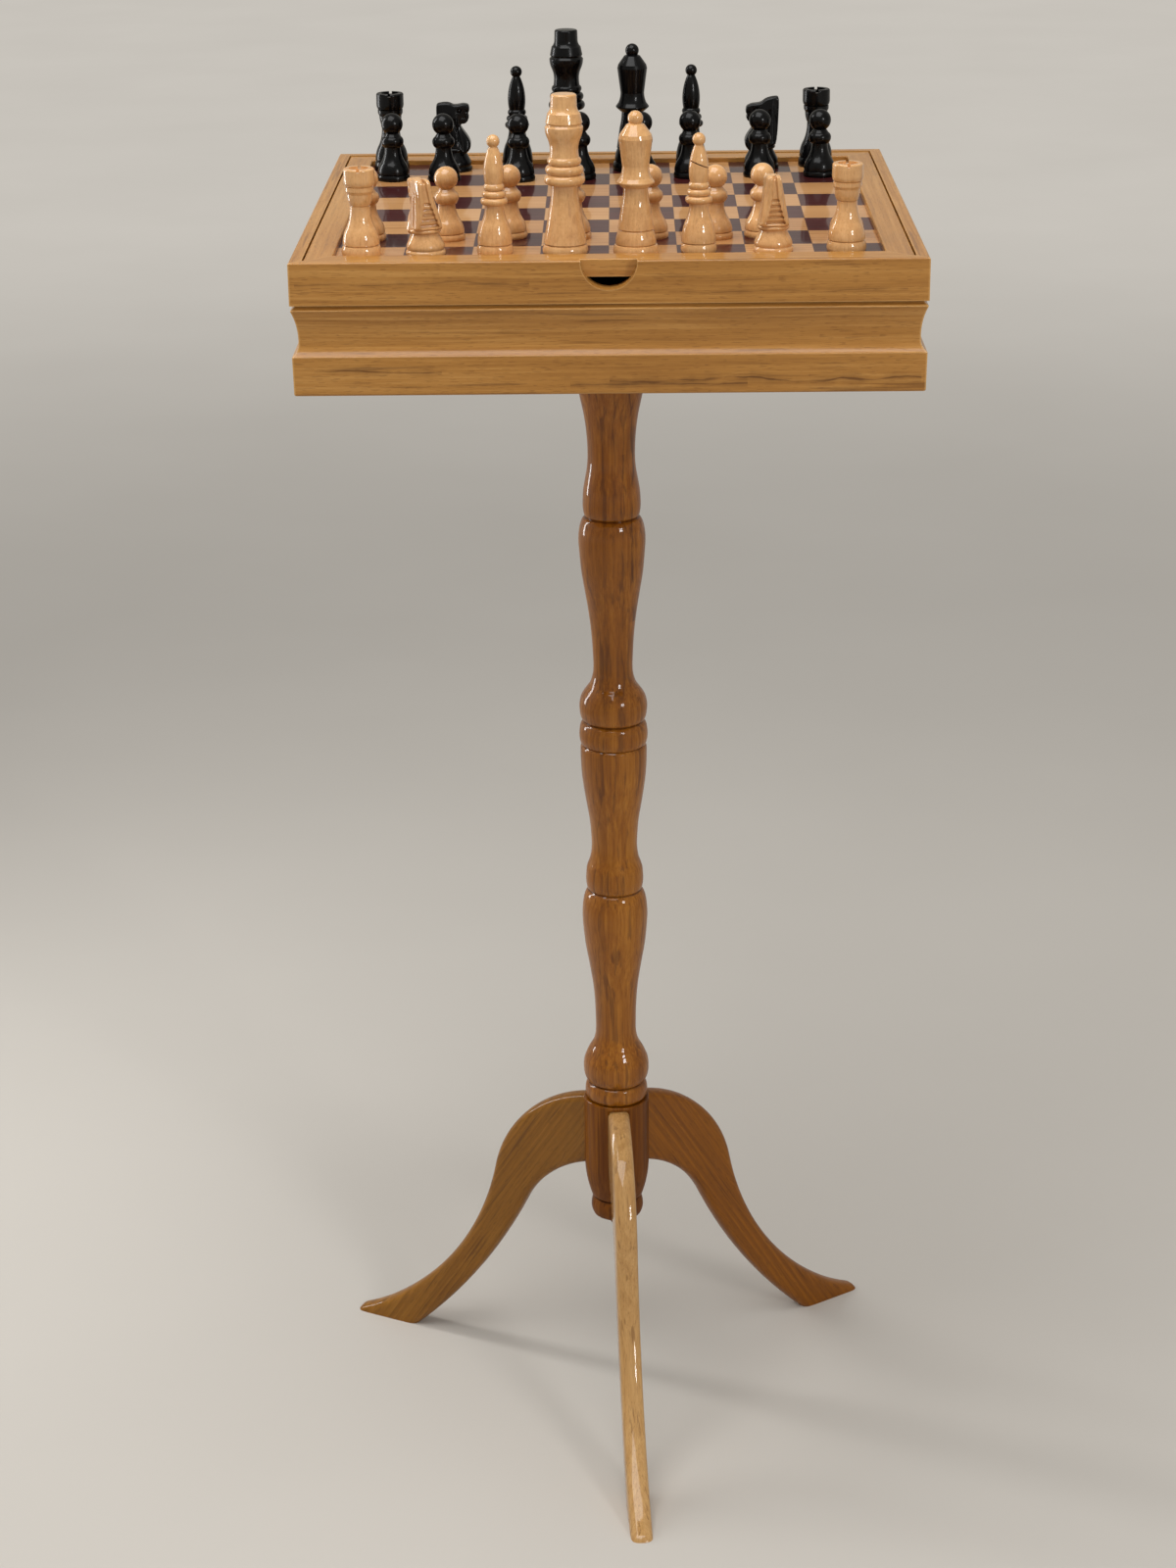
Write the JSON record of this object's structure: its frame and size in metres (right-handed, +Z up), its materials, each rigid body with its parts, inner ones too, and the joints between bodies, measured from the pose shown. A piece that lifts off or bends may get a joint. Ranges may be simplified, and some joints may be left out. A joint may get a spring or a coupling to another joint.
{
  "type": "chess table",
  "caption": "Square box table on a turned column with splayed legs, with an inlaid chessboard as its lift-off lid and a set of turned wooden chess men on it.",
  "frame": {"origin": "on the floor, in the plane of the feet, under the axis of the column", "axes": "+Z up along the column; -Y towards the side with the finger notch and the white men; +X to the right seen from there"},
  "size_m": [0.3318, 0.3483, 0.817],
  "materials": {
    "box_wood": "clear high-gloss lacquer over warm honey wood",
    "column_wood": "clear high-gloss lacquer over darker reddish wood, grain upright",
    "leg_wood": "clear high-gloss lacquer over golden wood",
    "bottom_panel": "thin satin lacquer on a plain panel",
    "disc_wood": "satin lacquer",
    "core_wood": "bare plywood",
    "light_veneer": "polished light veneer under clear gloss",
    "dark_veneer": "polished dark brown veneer under clear gloss",
    "screw_steel": "zinc-plated",
    "insert_brass": "plain turned",
    "stud_steel": "plain",
    "dowel_wood": "bare beech",
    "white_man": "natural light wood, semi-gloss lacquer",
    "black_man": "glossy black lacquer"
  },
  "bodies": {
    "table": {"wall_front": "box_wood", "wall_back": "box_wood", "wall_left": "box_wood", "wall_right": "box_wood", "box_bottom": "bottom_panel", "mounting_disc": "disc_wood", "disc_screws": "screw_steel", "disc_insert": "insert_brass", "top_stud": "stud_steel", "column_insert": "insert_brass", "middle_stud": "stud_steel", "hub_insert": "insert_brass", "bottom_stud": "stud_steel", "leg_dowels": "dowel_wood", "column_upper": "column_wood", "column_lower": "column_wood", "hub": "column_wood", "leg_front": "leg_wood", "leg_back_left": "leg_wood", "leg_back_right": "leg_wood"},
    "lid": {"lid_rail_front": "box_wood", "lid_rail_back": "box_wood", "lid_rail_left": "box_wood", "lid_rail_right": "box_wood", "board_core": "core_wood", "light_squares": "light_veneer", "dark_squares": "dark_veneer"},
    "white_rook_a": {"white_rook_a": "white_man"},
    "white_knight_b": {"white_knight_b": "white_man"},
    "white_bishop_c": {"white_bishop_c": "white_man"},
    "white_king": {"white_king": "white_man"},
    "white_queen": {"white_queen": "white_man"},
    "white_bishop_f": {"white_bishop_f": "white_man"},
    "white_knight_g": {"white_knight_g": "white_man"},
    "white_rook_h": {"white_rook_h": "white_man"},
    "white_pawn_a": {"white_pawn_a": "white_man"},
    "white_pawn_b": {"white_pawn_b": "white_man"},
    "white_pawn_c": {"white_pawn_c": "white_man"},
    "white_pawn_d": {"white_pawn_d": "white_man"},
    "white_pawn_e": {"white_pawn_e": "white_man"},
    "white_pawn_f": {"white_pawn_f": "white_man"},
    "white_pawn_g": {"white_pawn_g": "white_man"},
    "white_pawn_h": {"white_pawn_h": "white_man"},
    "black_rook_a": {"black_rook_a": "black_man"},
    "black_knight_b": {"black_knight_b": "black_man"},
    "black_bishop_c": {"black_bishop_c": "black_man"},
    "black_king": {"black_king": "black_man"},
    "black_queen": {"black_queen": "black_man"},
    "black_bishop_f": {"black_bishop_f": "black_man"},
    "black_knight_g": {"black_knight_g": "black_man"},
    "black_rook_h": {"black_rook_h": "black_man"},
    "black_pawn_a": {"black_pawn_a": "black_man"},
    "black_pawn_b": {"black_pawn_b": "black_man"},
    "black_pawn_c": {"black_pawn_c": "black_man"},
    "black_pawn_d": {"black_pawn_d": "black_man"},
    "black_pawn_e": {"black_pawn_e": "black_man"},
    "black_pawn_f": {"black_pawn_f": "black_man"},
    "black_pawn_g": {"black_pawn_g": "black_man"},
    "black_pawn_h": {"black_pawn_h": "black_man"}
  },
  "joints": [
    {"name": "lid_lift", "type": "slide", "parent": "table", "child": "lid", "axis": [0, 0, 1], "range_m": [0, 0.15]},
    {"name": "white_rook_a_lift", "type": "slide", "parent": "lid", "child": "white_rook_a", "axis": [0, 0, 1], "range_m": [0, 0.1]},
    {"name": "white_knight_b_lift", "type": "slide", "parent": "lid", "child": "white_knight_b", "axis": [0, 0, 1], "range_m": [0, 0.1]},
    {"name": "white_bishop_c_lift", "type": "slide", "parent": "lid", "child": "white_bishop_c", "axis": [0, 0, 1], "range_m": [0, 0.1]},
    {"name": "white_king_lift", "type": "slide", "parent": "lid", "child": "white_king", "axis": [0, 0, 1], "range_m": [0, 0.1]},
    {"name": "white_queen_lift", "type": "slide", "parent": "lid", "child": "white_queen", "axis": [0, 0, 1], "range_m": [0, 0.1]},
    {"name": "white_bishop_f_lift", "type": "slide", "parent": "lid", "child": "white_bishop_f", "axis": [0, 0, 1], "range_m": [0, 0.1]},
    {"name": "white_knight_g_lift", "type": "slide", "parent": "lid", "child": "white_knight_g", "axis": [0, 0, 1], "range_m": [0, 0.1]},
    {"name": "white_rook_h_lift", "type": "slide", "parent": "lid", "child": "white_rook_h", "axis": [0, 0, 1], "range_m": [0, 0.1]},
    {"name": "white_pawn_a_lift", "type": "slide", "parent": "lid", "child": "white_pawn_a", "axis": [0, 0, 1], "range_m": [0, 0.1]},
    {"name": "white_pawn_b_lift", "type": "slide", "parent": "lid", "child": "white_pawn_b", "axis": [0, 0, 1], "range_m": [0, 0.1]},
    {"name": "white_pawn_c_lift", "type": "slide", "parent": "lid", "child": "white_pawn_c", "axis": [0, 0, 1], "range_m": [0, 0.1]},
    {"name": "white_pawn_d_lift", "type": "slide", "parent": "lid", "child": "white_pawn_d", "axis": [0, 0, 1], "range_m": [0, 0.1]},
    {"name": "white_pawn_e_lift", "type": "slide", "parent": "lid", "child": "white_pawn_e", "axis": [0, 0, 1], "range_m": [0, 0.1]},
    {"name": "white_pawn_f_lift", "type": "slide", "parent": "lid", "child": "white_pawn_f", "axis": [0, 0, 1], "range_m": [0, 0.1]},
    {"name": "white_pawn_g_lift", "type": "slide", "parent": "lid", "child": "white_pawn_g", "axis": [0, 0, 1], "range_m": [0, 0.1]},
    {"name": "white_pawn_h_lift", "type": "slide", "parent": "lid", "child": "white_pawn_h", "axis": [0, 0, 1], "range_m": [0, 0.1]},
    {"name": "black_rook_a_lift", "type": "slide", "parent": "lid", "child": "black_rook_a", "axis": [0, 0, 1], "range_m": [0, 0.1]},
    {"name": "black_knight_b_lift", "type": "slide", "parent": "lid", "child": "black_knight_b", "axis": [0, 0, 1], "range_m": [0, 0.1]},
    {"name": "black_bishop_c_lift", "type": "slide", "parent": "lid", "child": "black_bishop_c", "axis": [0, 0, 1], "range_m": [0, 0.1]},
    {"name": "black_king_lift", "type": "slide", "parent": "lid", "child": "black_king", "axis": [0, 0, 1], "range_m": [0, 0.1]},
    {"name": "black_queen_lift", "type": "slide", "parent": "lid", "child": "black_queen", "axis": [0, 0, 1], "range_m": [0, 0.1]},
    {"name": "black_bishop_f_lift", "type": "slide", "parent": "lid", "child": "black_bishop_f", "axis": [0, 0, 1], "range_m": [0, 0.1]},
    {"name": "black_knight_g_lift", "type": "slide", "parent": "lid", "child": "black_knight_g", "axis": [0, 0, 1], "range_m": [0, 0.1]},
    {"name": "black_rook_h_lift", "type": "slide", "parent": "lid", "child": "black_rook_h", "axis": [0, 0, 1], "range_m": [0, 0.1]},
    {"name": "black_pawn_a_lift", "type": "slide", "parent": "lid", "child": "black_pawn_a", "axis": [0, 0, 1], "range_m": [0, 0.1]},
    {"name": "black_pawn_b_lift", "type": "slide", "parent": "lid", "child": "black_pawn_b", "axis": [0, 0, 1], "range_m": [0, 0.1]},
    {"name": "black_pawn_c_lift", "type": "slide", "parent": "lid", "child": "black_pawn_c", "axis": [0, 0, 1], "range_m": [0, 0.1]},
    {"name": "black_pawn_d_lift", "type": "slide", "parent": "lid", "child": "black_pawn_d", "axis": [0, 0, 1], "range_m": [0, 0.1]},
    {"name": "black_pawn_e_lift", "type": "slide", "parent": "lid", "child": "black_pawn_e", "axis": [0, 0, 1], "range_m": [0, 0.1]},
    {"name": "black_pawn_f_lift", "type": "slide", "parent": "lid", "child": "black_pawn_f", "axis": [0, 0, 1], "range_m": [0, 0.1]},
    {"name": "black_pawn_g_lift", "type": "slide", "parent": "lid", "child": "black_pawn_g", "axis": [0, 0, 1], "range_m": [0, 0.1]},
    {"name": "black_pawn_h_lift", "type": "slide", "parent": "lid", "child": "black_pawn_h", "axis": [0, 0, 1], "range_m": [0, 0.1]}
  ]
}
